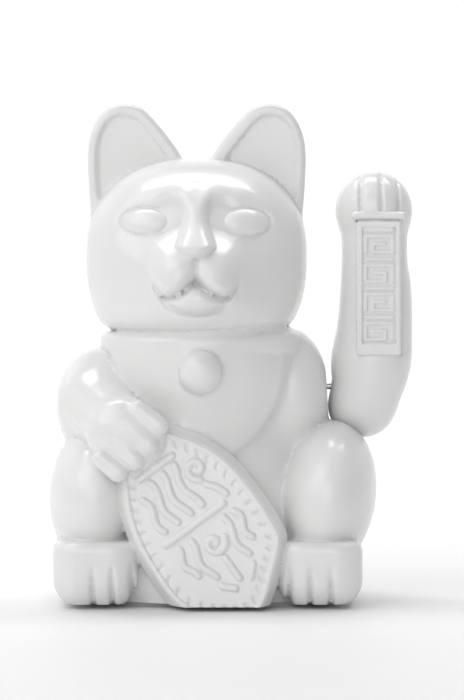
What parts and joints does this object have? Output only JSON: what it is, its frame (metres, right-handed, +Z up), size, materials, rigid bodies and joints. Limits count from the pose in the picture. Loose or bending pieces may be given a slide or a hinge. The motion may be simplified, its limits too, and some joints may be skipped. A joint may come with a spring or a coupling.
{
  "type": "beckoning cat figurine",
  "caption": "Seated beckoning cat in gloss white plastic with an oval coin plate, and a raised arm that swings on an axle, driven by a battery pendulum.",
  "frame": {"origin": "centre of the base plate's bottom face, where the figurine rests", "axes": "+Z up, -Y the way the cat faces, +X the viewer's right when facing the cat, the side of the raised arm"},
  "size_m": [0.11, 0.0805, 0.1499],
  "materials": {
    "body_plastic": "high-gloss moulded white plastic",
    "frame_plastic": "natural moulded plastic",
    "base_plastic": "satin moulded white plastic",
    "steel": "ground steel",
    "zinc_screw": "bright zinc plated",
    "brass": "turned brass",
    "magnet": "nickel plated",
    "contact": "nickel plated spring steel",
    "bobbin": "black moulded plastic",
    "enamelled_wire": "enamelled copper wire",
    "board": "brown phenolic board",
    "component_black": "moulded black case",
    "component_blue": "sleeved case",
    "component_tan": "lacquered body",
    "cell": "plain sleeved cell",
    "lead_red": "insulated wire",
    "lead_black": "insulated wire"
  },
  "bodies": {
    "body": {"front_shell": "body_plastic", "rear_shell": "body_plastic", "base_plate": "base_plastic", "drive_frame": "frame_plastic", "axle_bushes": "brass", "base_screws": "zinc_screw", "frame_screws": "zinc_screw", "coil_bobbin": "bobbin", "coil_winding": "enamelled_wire", "circuit_board": "board", "transistor": "component_black", "capacitor": "component_blue", "resistor": "component_tan", "battery_cell": "cell", "positive_contact": "contact", "negative_contact": "contact", "contact_spring": "contact", "positive_lead": "lead_red", "negative_lead": "lead_black"},
    "arm": {"arm_front_shell": "body_plastic", "arm_rear_shell": "body_plastic", "axle": "steel", "axle_clips": "steel", "swing_lever": "frame_plastic", "drive_magnet": "magnet", "counterweight": "steel"},
    "door": {"battery_door": "base_plastic"}
  },
  "joints": [
    {"name": "arm_swing", "type": "hinge", "parent": "body", "child": "arm", "pos_m": [0, 0, 0.064], "axis": [1, 0, 0], "range_deg": [-20, 25]},
    {"name": "battery_door_slide", "type": "slide", "parent": "body", "child": "door", "axis": [0, 0, -1], "range_m": [0, 0.012]}
  ]
}
